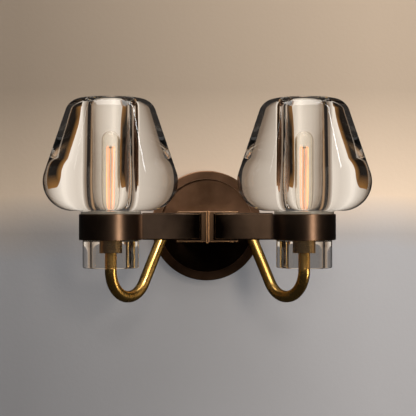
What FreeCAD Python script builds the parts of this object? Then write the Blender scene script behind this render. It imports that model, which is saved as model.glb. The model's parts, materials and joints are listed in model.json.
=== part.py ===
import FreeCAD, Part
import math
import os
import Sketcher
from types import SimpleNamespace

# Double arm wall sconce. The wall is the plane Y = 0, the light stands out from it towards -Y,
# +X is to the right and +Z is up. The origin is the middle of the canopy's back, on the wall.
# Two brass tubes carry the wiring from the canopy down and up again into the lamp cups, two flat
# arms carry the rings, and each ring holds a solid cast glass shade with a bore for the lamp.

doc = FreeCAD.newDocument("WallSconce")
sheet = doc.addObject("Spreadsheet::Sheet", "Sizes")

# Driving dimensions in millimetres, in the order: name, value.
SIZES = {
    # canopy: a spun metal dish with a recessed face
    "canopy_radius": 63.5,
    "canopy_depth": 18.0,
    "canopy_wall": 1.5,
    "canopy_edge": 1.2,
    "recess_radius": 53.8,
    "recess_depth": 3.0,
    # mounting strap on the junction box, with an ear bent forward at each end
    "strap_width": 19.0,
    "strap_thickness": 1.5,
    "strap_hole_radius": 5.2,
    "ear_clearance": 0.4,
    "ear_width": 10.0,
    "ear_margin": 2.0,
    "box_slot_spacing": 79.4,
    "box_slot_length": 14.0,
    "box_slot_width": 4.8,
    # screws
    "side_screw_height": 8.0,
    "side_screw_radius": 2.0,
    "side_screw_length": 7.0,
    "side_head_radius": 3.5,
    "side_head_height": 2.2,
    "tee_screw_radius": 2.5,
    "tee_screw_length": 14.0,
    "tee_head_radius": 4.0,
    "tee_head_height": 2.8,
    "arm_screw_radius": 2.0,
    "arm_screw_grip": 4.6,
    "arm_head_radius": 3.8,
    "arm_head_height": 2.6,
    "arm_screw_inset": 7.5,
    "arm_screw_spacing": 14.0,
    "ring_screw_radius": 2.5,
    "ring_screw_length": 14.0,
    "ring_head_radius": 4.6,
    "ring_head_height": 2.1,
    "head_edge": 0.8,
    "tip_gap": 0.35,
    "driver_width": 2.5,
    "driver_depth": 1.4,
    "clear_hole": 0.2,
    "thread_fit": 0.03,
    "blind_end": 1.0,
    # tee block that stands out from the canopy, with a fin between the arms
    "tee_width": 66.8,
    "tee_height": 33.4,
    "tee_wall": 3.0,
    "tee_front_wall": 4.0,
    "tee_post_width": 8.0,
    "tee_post_height": 7.0,
    "tee_edge": 0.5,
    "fin_thickness": 2.6,
    "fin_height": 34.2,
    "fin_length": 9.5,
    # flat arms and rings
    "arm_reach": 105.0,
    "arm_thickness": 6.0,
    "arm_height": 29.0,
    "arm_gap": 6.5,
    "arm_bevel": 1.5,
    "arm_cope_depth": 1.5,
    "axis_offset": 104.1,
    "ring_wall": 3.0,
    "ring_height": 27.8,
    "ring_edge": 0.5,
    "cope_clearance": 0.05,
    # soft seat between ring and glass
    "seat_wall": 0.7,
    "seat_clearance": 0.2,
    "seat_fit": 0.1,
    "seat_rim_width": 1.3,
    "seat_rise": 0.05,
    # solid glass shade with a straight bore
    "bore_radius": 20.5,
    "neck_radius": 30.0,
    "neck_length": 61.2,
    "underside_gap": 3.4,
    "belly_center_radius": 41.0,
    "belly_radius": 31.4,
    "shoulder_center_radius": 31.2,
    "shoulder_radius": 18.0,
    "shade_height": 120.4,
    "root_radius": 4.0,
    "glass_edge": 1.5,
    # bent brass tube
    "tube_radius": 6.35,
    "tube_wall": 1.45,
    "tube_rim_gap": 1.45,
    "tube_entry": 14.2,
    "tube_entry_bend": 13.0,
    "tube_drop": 47.0,
    "tube_bend": 30.0,
    # threaded nipples and their nuts
    "nipple_wall": 1.35,
    "nipple_fit": 0.05,
    "nipple_tube_grip": 5.0,
    "nipple_end": 1.0,
    "nut_flats": 14.0,
    "nut_height": 3.0,
    # lamp cup
    "cup_radius": 12.3,
    "cup_wall": 1.2,
    "cup_floor": 3.0,
    "cup_drop": 27.0,
    "cup_height": 35.0,
    "cup_edge": 0.4,
    # candelabra socket
    "socket_wall": 1.9,
    "socket_base": 6.0,
    "chamber_radius": 6.4,
    "chamber_height": 3.0,
    "socket_floor": 2.0,
    "socket_height": 27.0,
    "shell_wall": 0.4,
    "shell_fit": 0.1,
    "shell_height": 15.0,
    "contact_sheet": 0.4,
    "contact_reach": 4.6,
    "contact_bend": 2.3,
    "contact_slope": 1.5,
    "contact_tongue": 2.3,
    "contact_gap": 0.3,
    "tail_length": 1.2,
    "tail_width": 2.4,
    "tail_thickness": 0.8,
    # lamp: tubular envelope on a candelabra cap
    "lamp_rise": 2.0,
    "lamp_contact_radius": 2.2,
    "lamp_contact_bevel": 0.4,
    "lamp_contact_height": 0.8,
    "insulator_height": 1.7,
    "insulator_rim": 1.0,
    "cap_radius": 5.95,
    "cap_fit": 0.15,
    "cap_thread_depth": 0.5,
    "cap_wall": 0.45,
    "cap_pitch": 2.54,
    "cap_crest": 1.6,
    "cap_length": 17.5,
    "cap_plain_length": 4.6,
    "lamp_radius": 10.1,
    "lamp_glass": 0.8,
    "lamp_neck_fit": 0.1,
    "lamp_neck_depth": 6.0,
    "lamp_shoulder": 10.0,
    "lamp_length": 102.5,
    "stem_radius": 2.5,
    "stem_height": 13.0,
    "stem_flare": 3.0,
    "rod_radius": 1.1,
    "filament_radius": 4.6,
    "filament_wire": 0.22,
    "filament_start": 32.0,
    "filament_height": 53.0,
    "holder_hub": 0.6,
    "holder_height": 1.2,
    "holder_wire": 0.16,
    "holder_fit": 0.05,
    "holder_gap": 0.32,
    # leads and their connectors in the canopy
    "lead_radius": 2.3,
    "core_radius": 0.8,
    "core_offset": 1.3,
    "core_root": 1.8,
    "core_turn": 3.5,
    "core_bend": 8.0,
    "core_run_height": 18.0,
    "core_gap": 1.6,
    "core_grip": 8.0,
    "connector_radius": 5.2,
    "connector_skirt": 3.2,
    "connector_tip": 3.9,
    "connector_crown": 1.0,
    "connector_length": 19.0,
    "connector_cavity": 12.0,
    "connector_fit": 0.3,
    "connector_height": 27.0,
    "connector_depth": 6.3,
}


class Size:
    """A length with the spreadsheet expression that gives it."""

    def __init__(self, text, value):
        self.text = text
        self.value = value

    def __add__(self, other):
        other = as_size(other)
        return Size(f"({self.text} + {other.text})", self.value + other.value)

    def __sub__(self, other):
        other = as_size(other)
        return Size(f"({self.text} - {other.text})", self.value - other.value)

    def __mul__(self, other):
        other = as_size(other)
        return Size(f"({self.text} * {other.text})", self.value * other.value)

    def __truediv__(self, other):
        other = as_size(other)
        return Size(f"({self.text} / {other.text})", self.value / other.value)

    def __neg__(self):
        return Size(f"(0 - {self.text})", -self.value)

    __radd__ = __add__
    __rmul__ = __mul__

    def __rsub__(self, other):
        return as_size(other) - self


def as_size(item):
    if isinstance(item, Size):
        return item
    return Size(f"({float(item)})", float(item))


def square_root(size):
    return Size(f"sqrt({size.text})", math.sqrt(size.value))


def arc_tangent(rise, run):
    return Size(f"atan2({rise.text}; {run.text})", math.degrees(math.atan2(rise.value, run.value)))


def arc_cosine(size):
    return Size(f"acos({size.text})", math.degrees(math.acos(size.value)))


def sine(angle):
    return Size(f"sin({angle.text})", math.sin(math.radians(angle.value)))


def cosine(angle):
    return Size(f"cos({angle.text})", math.cos(math.radians(angle.value)))


def fill_sheet():
    sizes = {}
    for row, (name, value) in enumerate(SIZES.items(), start=1):
        sheet.set(f"A{row}", name)
        sheet.set(f"B{row}", str(value))
        sheet.setAlias(f"B{row}", name)
        sizes[name] = Size(f"Sizes.{name}", float(value))
    doc.recompute()
    return SimpleNamespace(**sizes)


s = fill_sheet()
nodes = []

# Two points closer than this count as one.
NEAR = 0.01

# Upright strands in the filament's cage.
STRANDS = 8


# ---- helpers for bodies, sketches and features ----

def new_body(label):
    body = doc.addObject("PartDesign::Body", label)
    body.Label = label
    nodes.append(body)
    return body


def bind(item, path, size):
    item.setExpression(path, as_size(size).text)


def place(item, x, y, z, rotation=None):
    rotation = rotation or FreeCAD.Rotation()
    spot = [as_size(value) for value in (x, y, z)]
    item.Placement = FreeCAD.Placement(FreeCAD.Vector(*[size.value for size in spot]), rotation)
    for axis, size in zip("xyz", spot):
        item.setExpression(f"Placement.Base.{axis}", size.text)


def sketch_on(body, role, name, offset=None):
    sketch = body.newObject("Sketcher::SketchObject", f"{body.Name}_{name}")
    planes = [item for item in body.Origin.OriginFeatures if item.Role == role]
    sketch.AttachmentSupport = [(planes[0], "")]
    sketch.MapMode = "FlatFace"
    if offset is not None:
        bind(sketch, "AttachmentOffset.Base.z", offset)
    return sketch


def constrain(sketch, kind, *items, size=None):
    if size is None:
        return sketch.addConstraint(Sketcher.Constraint(kind, *items))
    index = sketch.addConstraint(Sketcher.Constraint(kind, *items, size.value))
    sketch.setExpression(f"Constraints[{index}]", size.text)
    return index


def fix_point(sketch, geometry, point, x, y):
    """Ties a point to the sketch's origin by its two distances."""
    for size, kind, axis in ((x, "DistanceX", -2), (y, "DistanceY", -1)):
        if isinstance(size, Size):
            constrain(sketch, kind, -1, 1, geometry, point, size=size)
        elif size == 0:
            constrain(sketch, "PointOnObject", geometry, point, axis)
        else:
            constrain(sketch, kind, -1, 1, geometry, point, size=as_size(size))


def draw_outline(sketch, corners):
    """Draws a closed outline. A corner is (x, y), or (x, y, cx, cy, r) at the end of an arc."""
    edges = []
    for index, start in enumerate(corners):
        finish = corners[(index + 1) % len(corners)]
        a = FreeCAD.Vector(as_size(start[0]).value, as_size(start[1]).value, 0)
        b = FreeCAD.Vector(as_size(finish[0]).value, as_size(finish[1]).value, 0)
        if len(finish) == 2:
            geometry = sketch.addGeometry(Part.LineSegment(a, b), False)
            edges.append((geometry, 1, 2, None))
            continue
        middle = FreeCAD.Vector(as_size(finish[2]).value, as_size(finish[3]).value, 0)
        counter = (a - middle).cross(b - middle).z > 0
        first, last = (a, b) if counter else (b, a)
        begin = math.atan2(first.y - middle.y, first.x - middle.x)
        end = math.atan2(last.y - middle.y, last.x - middle.x)
        circle = Part.Circle(middle, FreeCAD.Vector(0, 0, 1), as_size(finish[4]).value)
        geometry = sketch.addGeometry(Part.ArcOfCircle(circle, begin, end), False)
        edges.append((geometry, 1, 2, finish[4]) if counter else (geometry, 2, 1, finish[4]))
    for index, (geometry, begin, end, radius) in enumerate(edges):
        following = edges[(index + 1) % len(edges)]
        constrain(sketch, "Coincident", geometry, end, following[0], following[1])
        fix_point(sketch, geometry, begin, corners[index][0], corners[index][1])
        if radius is not None:
            constrain(sketch, "Radius", geometry, size=as_size(radius))


def draw_circle(sketch, x, y, radius):
    middle = FreeCAD.Vector(as_size(x).value, as_size(y).value, 0)
    circle = Part.Circle(middle, FreeCAD.Vector(0, 0, 1), radius.value)
    geometry = sketch.addGeometry(circle, False)
    constrain(sketch, "Radius", geometry, size=radius)
    fix_point(sketch, geometry, 3, x, y)


def draw_rectangle(sketch, x0, x1, y0, y1):
    draw_outline(sketch, [(x0, y0), (x1, y0), (x1, y1), (x0, y1)])


def draw_hexagon(sketch, flats):
    corner = flats / math.sqrt(3)
    half = corner / 2
    side = flats / 2
    draw_outline(sketch, [(corner, 0), (half, side), (-half, side),
                          (-corner, 0), (-half, -side), (half, -side)])


def slot_corners(left, right, radius):
    """The outline of a slot along X with round ends."""
    return [(left, -radius, left, 0, radius), (right, -radius), (right + radius, 0, right, 0, radius),
            (right, radius, right, 0, radius), (left, radius), (left - radius, 0, left, 0, radius)]


def add_feature(body, kind, name, sketch):
    feature = body.newObject(f"PartDesign::{kind}", f"{body.Name}_{name}")
    feature.Profile = sketch
    sketch.Visibility = False
    return feature


def revolve(body, name, sketch, axis="V_Axis", kind="Revolution"):
    feature = add_feature(body, kind, name, sketch)
    feature.ReferenceAxis = (sketch, [axis])
    feature.Angle = 360
    return feature


def pad(body, name, sketch, length, symmetric=False):
    feature = add_feature(body, "Pad", name, sketch)
    if symmetric:
        feature.SideType = "Symmetric"
    bind(feature, "Length", length)
    return feature


def pocket(body, name, sketch, depth=None, along_normal=False):
    """Cuts to a depth, or through the whole body both ways when there is no depth."""
    feature = add_feature(body, "Pocket", name, sketch)
    if depth is None:
        feature.Type = "ThroughAll"
        feature.SideType = "Symmetric"
    else:
        bind(feature, "Length", depth)
        feature.Reversed = along_normal
    return feature


def dress(body, kind, name, base, edges, size):
    """Rounds or bevels edges of the last feature."""
    feature = body.newObject(f"PartDesign::{kind}", f"{body.Name}_{name}")
    feature.Base = (base, edges)
    bind(feature, "Radius" if kind == "Fillet" else "Size", size)
    return feature


def edges_where(feature, test):
    doc.recompute()
    found = []
    for index, edge in enumerate(feature.Shape.Edges, start=1):
        if test(edge):
            found.append(f"Edge{index}")
    return found


def turned(label, corners):
    """A body turned round its own Z axis from a half outline of (radius, height) corners."""
    body = new_body(label)
    sketch = sketch_on(body, "XZ_Plane", "profile")
    draw_outline(sketch, corners)
    revolve(body, "turned", sketch)
    return body


def own_shape(label, shape):
    feature = doc.addObject("Part::Feature", label)
    feature.Label = label
    feature.Shape = shape
    nodes.append(feature)
    return feature


# ---- sizes that follow from the driving ones ----

canopy_inner = s.canopy_radius - s.canopy_wall
floor_front = s.canopy_depth - s.recess_depth
floor_back = floor_front - s.canopy_wall
tee_face = s.arm_reach - s.arm_thickness / 2
arm_bottom = -s.ring_height / 2
arm_top = arm_bottom + s.arm_height
arm_middle = arm_bottom + s.arm_height / 2
seat_inner = s.neck_radius + s.seat_clearance
seat_outer = seat_inner + s.seat_wall
ring_inner = seat_outer + s.seat_fit
ring_radius = ring_inner + s.ring_wall
underside_height = s.ring_height / 2 + s.underside_gap
root_x = s.neck_radius + s.root_radius
root_z = underside_height - s.root_radius
tee_half = s.tee_width / 2
post_x = tee_half - (s.tee_wall + s.tee_post_width) / 2
post_z = s.tee_height / 2 - (s.tee_wall + s.tee_post_height) / 2
arm_screw_x = s.arm_gap + s.arm_screw_inset
strap_half = s.strap_width / 2
strap_reach = square_root(canopy_inner * canopy_inner - strap_half * strap_half) - s.ear_clearance
ear_length = s.side_screw_height + s.side_screw_radius + s.ear_margin
tube_end_offset = s.recess_radius - s.tube_radius - s.tube_rim_gap
tube_bore = s.tube_radius - s.tube_wall
nipple_radius = tube_bore - s.nipple_fit
nipple_bore = nipple_radius - s.nipple_wall
socket_bottom = s.cup_floor + s.nut_height - s.cup_drop
chamber_bottom = socket_bottom + s.socket_base
chamber_top = chamber_bottom + s.chamber_height
socket_seat = chamber_top + s.socket_floor
tail_bottom = chamber_top - s.tail_length
shell_radius = s.cap_radius + s.cap_fit + s.shell_wall
socket_cavity = shell_radius + s.shell_fit
lamp_bottom = socket_seat + s.lamp_rise
lamp_top = lamp_bottom + s.lamp_length
filament_bottom = lamp_bottom + s.filament_start
filament_top = filament_bottom + s.filament_height
insulator_bottom = lamp_bottom + s.lamp_contact_height
cap_bottom = insulator_bottom + s.insulator_height
cap_top = cap_bottom + s.cap_length
cap_inner = s.cap_radius - s.cap_thread_depth - s.cap_wall
contact_top = lamp_bottom - s.contact_gap


# ---- canopy and mounting ----

def make_canopy():
    body = new_body("canopy")
    sketch = sketch_on(body, "XY_Plane", "profile")
    step_outer = s.recess_radius + s.canopy_wall
    band_back = s.canopy_depth - s.canopy_wall
    edge_y = -(s.canopy_depth - s.canopy_edge)
    edge_x = s.canopy_radius - s.canopy_edge
    draw_outline(sketch, [
        (0, -floor_back), (step_outer, -floor_back), (step_outer, -band_back), (canopy_inner, -band_back),
        (canopy_inner, 0), (s.canopy_radius, 0), (s.canopy_radius, edge_y),
        (edge_x, -s.canopy_depth, edge_x, edge_y, s.canopy_edge),
        (s.recess_radius, -s.canopy_depth), (s.recess_radius, -floor_front), (0, -floor_front)])
    revolve(body, "dish", sketch)
    holes = sketch_on(body, "XZ_Plane", "floor_holes")
    for side in (-1, 1):
        draw_circle(holes, tube_end_offset * side, 0, nipple_radius + s.nipple_fit)
        for up in (-1, 1):
            draw_circle(holes, post_x * side, post_z * up, s.tee_screw_radius + s.clear_hole)
    pocket(body, "floor_hole_cut", holes)
    sides = sketch_on(body, "YZ_Plane", "side_holes")
    draw_circle(sides, -s.side_screw_height, 0, s.side_screw_radius + s.clear_hole)
    pocket(body, "side_hole_cut", sides)


def make_strap():
    body = new_body("mounting_strap")
    plate = sketch_on(body, "XZ_Plane", "plate")
    draw_rectangle(plate, -strap_reach, strap_reach, -strap_half, strap_half)
    pad(body, "plate_pad", plate, s.strap_thickness)
    for name, side in (("left", -1), ("right", 1)):
        ear = sketch_on(body, "XZ_Plane", f"{name}_ear")
        inner = (strap_reach - s.strap_thickness) * side
        ends = (strap_reach * side, inner) if side < 0 else (inner, strap_reach * side)
        draw_rectangle(ear, ends[0], ends[1], -s.ear_width / 2, s.ear_width / 2)
        pad(body, f"{name}_ear_pad", ear, ear_length)
    slots = sketch_on(body, "XZ_Plane", "slots")
    for side in (-1, 1):
        center = s.box_slot_spacing * side / 2
        reach = (s.box_slot_length - s.box_slot_width) / 2
        draw_outline(slots, slot_corners(center - reach, center + reach, s.box_slot_width / 2))
    draw_circle(slots, 0, 0, s.strap_hole_radius)
    pocket(body, "slot_cut", slots)
    taps = sketch_on(body, "YZ_Plane", "ear_taps")
    draw_circle(taps, -s.side_screw_height, 0, s.side_screw_radius + s.thread_fit)
    pocket(body, "ear_tap_cut", taps)


def make_screw(label, head_radius, head_height, radius, length, spot, rotation):
    """A pan head screw. Its own Z points from the seat of the head towards the driver."""
    edge = s.head_edge
    body = turned(label, [
        (0, -length), (radius, -length), (radius, 0), (head_radius, 0), (head_radius, head_height - edge),
        (head_radius - edge, head_height, head_radius - edge, head_height - edge, edge), (0, head_height)])
    socket = sketch_on(body, "XY_Plane", "driver", head_height)
    draw_hexagon(socket, s.driver_width)
    pocket(body, "driver_cut", socket, s.driver_depth)
    place(body, spot[0], spot[1], spot[2], rotation)


def turn_to(x, y, z):
    return FreeCAD.Rotation(FreeCAD.Vector(0, 0, 1), FreeCAD.Vector(x, y, z))


def make_canopy_screws():
    for name, side in (("left", -1), ("right", 1)):
        spot = (s.canopy_radius * side, -s.side_screw_height, 0)
        make_screw(f"canopy_screw_{name}", s.side_head_radius, s.side_head_height, s.side_screw_radius,
                   s.side_screw_length, spot, turn_to(side, 0, 0))


def make_tee_screws():
    for side_name, side in (("left", -1), ("right", 1)):
        for up_name, up in (("lower", -1), ("upper", 1)):
            make_screw(f"tee_screw_{up_name}_{side_name}", s.tee_head_radius, s.tee_head_height,
                       s.tee_screw_radius, s.tee_screw_length, (post_x * side, -floor_back, post_z * up),
                       turn_to(0, 1, 0))


# ---- tee block and arms ----

def make_tee():
    body = new_body("tee_block")
    outer = sketch_on(body, "XZ_Plane", "outer", floor_front)
    draw_rectangle(outer, -tee_half, tee_half, -s.tee_height / 2, s.tee_height / 2)
    block = pad(body, "outer_pad", outer, tee_face - floor_front)
    front = -tee_face.value

    def is_outer_edge(edge):
        depths = [vertex.Point.y for vertex in edge.Vertexes]
        return min(depths) < front + NEAR

    dress(body, "Chamfer", "edges", block, edges_where(block, is_outer_edge), s.tee_edge)
    x1 = tee_half - s.tee_wall
    x0 = x1 - s.tee_post_width
    z1 = s.tee_height / 2 - s.tee_wall
    z0 = z1 - s.tee_post_height
    hollow = sketch_on(body, "XZ_Plane", "hollow", floor_front)
    draw_outline(hollow, [(-x0, -z1), (x0, -z1), (x0, -z0), (x1, -z0), (x1, z0), (x0, z0),
                          (x0, z1), (-x0, z1), (-x0, z0), (-x1, z0), (-x1, -z0), (-x0, -z0)])
    pocket(body, "hollow_cut", hollow, tee_face - floor_front - s.tee_front_wall, along_normal=True)
    fin = sketch_on(body, "XZ_Plane", "fin", tee_face - s.tee_front_wall)
    draw_rectangle(fin, -s.fin_thickness / 2, s.fin_thickness / 2, -s.fin_height / 2, s.fin_height / 2)
    pad(body, "fin_pad", fin, s.fin_length + s.tee_front_wall)
    taps = sketch_on(body, "XZ_Plane", "post_taps", floor_front)
    clear = sketch_on(body, "XZ_Plane", "arm_holes", tee_face)
    for side in (-1, 1):
        for up in (-1, 1):
            draw_circle(taps, post_x * side, post_z * up, s.tee_screw_radius + s.thread_fit)
            draw_circle(clear, arm_screw_x * side, arm_middle + s.arm_screw_spacing * up / 2,
                        s.arm_screw_radius + s.clear_hole)
    pocket(body, "post_tap_cut", taps, s.tee_screw_length + s.blind_end - s.canopy_wall, along_normal=True)
    pocket(body, "arm_hole_cut", clear, s.tee_front_wall)


def make_arm(name, side):
    body = new_body(f"{name}_arm")
    bar = sketch_on(body, "XZ_Plane", "bar", tee_face)
    end = s.axis_offset - ring_radius + s.arm_cope_depth
    xs = (s.arm_gap, end) if side > 0 else (-end, -s.arm_gap)
    draw_rectangle(bar, xs[0], xs[1], arm_bottom, arm_top)
    blank = pad(body, "bar_pad", bar, s.arm_thickness)
    front = -(tee_face + s.arm_thickness).value
    ring_end = end.value * side

    def is_front_edge(edge):
        points = [vertex.Point for vertex in edge.Vertexes]
        in_front = all(abs(point.y - front) < NEAR for point in points)
        at_ring = all(abs(point.x - ring_end) < NEAR for point in points)
        return in_front and not at_ring

    dress(body, "Chamfer", "bevel", blank, edges_where(blank, is_front_edge), s.arm_bevel)
    cope = sketch_on(body, "XY_Plane", "cope")
    draw_circle(cope, s.axis_offset * side, -s.arm_reach, ring_radius + s.cope_clearance)
    pocket(body, "cope_cut", cope)
    backs = sketch_on(body, "XZ_Plane", "back_taps", tee_face)
    for up in (-1, 1):
        draw_circle(backs, arm_screw_x * side, arm_middle + s.arm_screw_spacing * up / 2,
                    s.arm_screw_radius + s.thread_fit)
    pocket(body, "back_tap_cut", backs, s.arm_screw_grip, along_normal=True)
    tap_end = (s.axis_offset - ring_radius - s.ring_screw_length - s.blind_end) * side
    tap = sketch_on(body, "YZ_Plane", "end_tap", tap_end)
    draw_circle(tap, -s.arm_reach, 0, s.ring_screw_radius + s.thread_fit)
    pocket(body, "end_tap_cut", tap, s.ring_screw_length + s.ring_wall, along_normal=side > 0)


def make_arm_screws(name, side):
    length = s.tee_front_wall + s.arm_screw_grip - s.tip_gap
    seat_y = -(tee_face - s.tee_front_wall)
    for up_name, up in (("lower", -1), ("upper", 1)):
        height = arm_middle + s.arm_screw_spacing * up / 2
        make_screw(f"{name}_arm_screw_{up_name}", s.arm_head_radius, s.arm_head_height, s.arm_screw_radius,
                   length, (arm_screw_x * side, seat_y, height), turn_to(0, 1, 0))


# ---- ring, its screw and the soft seat ----

def make_ring(name, side):
    half = s.ring_height / 2
    edge = s.ring_edge
    body = turned(f"{name}_ring", [
        (ring_inner, -half + edge), (ring_inner + edge, -half), (ring_radius - edge, -half),
        (ring_radius, -half + edge), (ring_radius, half - edge), (ring_radius - edge, half),
        (ring_inner + edge, half), (ring_inner, half - edge)])
    sink = sketch_on(body, "XY_Plane", "sink")
    hole = s.ring_screw_radius + s.clear_hole
    seat_head = s.ring_head_radius + s.clear_hole
    shank_start = ring_inner + s.ring_head_height
    outline = [(ring_inner - s.ring_wall, 0), (ring_radius + s.ring_wall, 0),
               (ring_radius + s.ring_wall, hole), (shank_start, hole), (ring_inner, seat_head),
               (ring_inner - s.ring_wall, seat_head)]
    draw_outline(sink, [(x * -side, y) for x, y in outline])
    revolve(body, "sink_cut", sink, axis="H_Axis", kind="Groove")
    place(body, s.axis_offset * side, -s.arm_reach, 0)


def make_ring_screw(name, side):
    body = turned(f"{name}_ring_screw", [
        (0, -(s.ring_head_height + s.ring_screw_length)),
        (s.ring_screw_radius, -(s.ring_head_height + s.ring_screw_length)),
        (s.ring_screw_radius, -s.ring_head_height), (s.ring_head_radius, 0), (0, 0)])
    socket = sketch_on(body, "XY_Plane", "driver", 0)
    draw_hexagon(socket, s.driver_width)
    pocket(body, "driver_cut", socket, s.driver_depth)
    place(body, (s.axis_offset - ring_inner) * side, -s.arm_reach, 0, turn_to(side, 0, 0))


def make_seat(name, side):
    """A soft clear sleeve between ring and glass, with a rim that follows the glass's root."""
    bottom = -s.ring_height / 2
    rim_bottom = s.ring_height / 2 + s.seat_rise
    rim_outer = seat_outer + s.seat_rim_width
    follow = s.root_radius - s.seat_clearance
    rim_top = root_z + square_root(follow * follow - (root_x - rim_outer) * (root_x - rim_outer))
    body = turned(f"{name}_seat", [
        (seat_inner, bottom), (seat_outer, bottom), (seat_outer, rim_bottom), (rim_outer, rim_bottom),
        (rim_outer, rim_top), (seat_inner, root_z, root_x, root_z, follow)])
    place(body, s.axis_offset * side, -s.arm_reach, 0)


# ---- glass shade ----

def make_shade(name, side):
    """The outline rises from the neck over the belly and up a leaning side to a round shoulder."""
    edge = s.glass_edge
    bottom = underside_height - s.neck_length
    top = underside_height + s.shade_height
    belly_z = underside_height + s.belly_radius
    shoulder_z = top - s.shoulder_radius
    run = s.shoulder_center_radius - s.belly_center_radius
    rise = shoulder_z - belly_z
    apart = square_root(run * run + rise * rise)
    lean = arc_tangent(rise, run) - arc_cosine((s.belly_radius - s.shoulder_radius) / apart)
    belly_end_x = s.belly_center_radius + s.belly_radius * cosine(lean)
    belly_end_z = belly_z + s.belly_radius * sine(lean)
    shoulder_start_x = s.shoulder_center_radius + s.shoulder_radius * cosine(lean)
    shoulder_start_z = shoulder_z + s.shoulder_radius * sine(lean)
    inner_edge = s.bore_radius + edge
    outer_edge = s.neck_radius - edge
    body = turned(f"{name}_shade", [
        (inner_edge, bottom, inner_edge, bottom + edge, edge), (outer_edge, bottom),
        (s.neck_radius, bottom + edge, outer_edge, bottom + edge, edge), (s.neck_radius, root_z),
        (root_x, underside_height, root_x, root_z, s.root_radius),
        (s.belly_center_radius, underside_height),
        (belly_end_x, belly_end_z, s.belly_center_radius, belly_z, s.belly_radius),
        (shoulder_start_x, shoulder_start_z),
        (s.shoulder_center_radius, top, s.shoulder_center_radius, shoulder_z, s.shoulder_radius),
        (inner_edge, top), (s.bore_radius, top - edge, inner_edge, top - edge, edge),
        (s.bore_radius, bottom + edge)])
    place(body, s.axis_offset * side, -s.arm_reach, 0)


# ---- bent tube, leads and nipples ----

def vector(x, y, z):
    return FreeCAD.Vector(x, y, z)


def add_run(edges, start, finish):
    """A straight run, unless two arcs meet there."""
    if (finish - start).Length > NEAR:
        edges.append(Part.LineSegment(start, finish).toShape())


def rounded_path(points, radii):
    """Straight runs through the points, joined at each inner point by a tangent arc."""
    edges = []
    start = points[0]
    for index in range(1, len(points) - 1):
        corner = points[index]
        before = (points[index - 1] - corner).normalize()
        after = (points[index + 1] - corner).normalize()
        turn = math.pi - before.getAngle(after)
        reach = radii[index - 1] * math.tan(turn / 2)
        first = corner + before * reach
        last = corner + after * reach
        bisector = (before + after).normalize()
        center = corner + bisector * (radii[index - 1] / math.cos(turn / 2))
        middle = center - bisector * radii[index - 1]
        add_run(edges, start, first)
        edges.append(Part.Arc(first, middle, last).toShape())
        start = last
    add_run(edges, start, points[-1])
    return Part.Wire(edges)


def sweep_round(path, radius):
    """A round solid along a path, checked against its section times its length."""
    start = path.Edges[0].valueAt(path.Edges[0].FirstParameter)
    heading = path.Edges[0].tangentAt(path.Edges[0].FirstParameter)
    profile = Part.Wire([Part.makeCircle(radius, start, heading)])
    solid = path.makePipeShell([profile], True, False)
    expected = math.pi * radius ** 2 * path.Length
    if abs(solid.Volume / expected - 1) > 0.01:
        raise RuntimeError(f"sweep volume {solid.Volume:.1f} against {expected:.1f}")
    return solid


def tube_corners(side, top, end):
    """Corner points of the tube's route: down from the cup, under the arm and up to the canopy.

    The lower bend turns by more than a right angle, so it is drawn as two corners."""
    axis = vector(s.axis_offset.value * side, -s.arm_reach.value, 0)
    entry_y = -(floor_front + s.tube_entry).value
    knee = vector(tube_end_offset.value * side, entry_y, 0)
    flat = vector(knee.x - axis.x, knee.y - axis.y, 0)
    distance = flat.Length
    flat.normalize()
    bend = s.tube_bend.value
    low = s.tube_drop.value
    run = distance - bend
    lean = math.atan2(low, run) - math.acos(bend / math.hypot(run, low))
    turn = math.pi + lean
    quarter = bend * math.tan(turn / 4)

    def at(across, height):
        return vector(axis.x + flat.x * across, axis.y + flat.y * across, height)

    first = at(0, -low - quarter)
    half_turn = turn / 2
    second = first + (at(math.sin(half_turn), -math.cos(half_turn)) - at(0, 0)) * (2 * quarter)
    points = [vector(axis.x, axis.y, top), first, second, knee, vector(knee.x, end, 0)]
    return points, [bend, bend, s.tube_entry_bend.value]


def make_tube(name, side):
    points, radii = tube_corners(side, -s.cup_drop.value, -floor_front.value)
    outer = sweep_round(rounded_path(points, radii), s.tube_radius.value)
    past, radii = tube_corners(side, -s.cup_drop.value + s.tube_wall.value,
                               -floor_front.value + s.tube_wall.value)
    inner = sweep_round(rounded_path(past, radii), tube_bore.value)
    own_shape(f"{name}_tube", outer.cut(inner))


def make_nipples(name, side):
    """One threaded nipple joins cup and tube, the other joins tube and canopy."""
    bottom = -(s.cup_drop + s.nipple_tube_grip)
    cup_nipple = turned(f"{name}_cup_nipple", [
        (nipple_bore, bottom), (nipple_radius, bottom), (nipple_radius, chamber_bottom),
        (nipple_bore, chamber_bottom)])
    place(cup_nipple, s.axis_offset * side, -s.arm_reach, 0)
    length = s.nipple_tube_grip + s.canopy_wall + s.nut_height + s.nipple_end
    canopy_nipple = turned(f"{name}_canopy_nipple", [
        (nipple_bore, 0), (nipple_radius, 0), (nipple_radius, length), (nipple_bore, length)])
    place(canopy_nipple, tube_end_offset * side, -(floor_front + s.nipple_tube_grip), 0, turn_to(0, 1, 0))


def make_nuts(name, side):
    spots = (("cup_nut", (s.axis_offset * side, -s.arm_reach, s.cup_floor - s.cup_drop), turn_to(0, 0, 1)),
             ("canopy_nut", (tube_end_offset * side, -floor_back, 0), turn_to(0, 1, 0)))
    for part, spot, rotation in spots:
        body = new_body(f"{name}_{part}")
        sketch = sketch_on(body, "XY_Plane", "flats")
        draw_hexagon(sketch, s.nut_flats)
        pad(body, "flats_pad", sketch, s.nut_height)
        bore = sketch_on(body, "XY_Plane", "bore")
        draw_circle(bore, 0, 0, nipple_radius + s.nipple_fit)
        pocket(body, "bore_cut", bore)
        place(body, spot[0], spot[1], spot[2], rotation)


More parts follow.
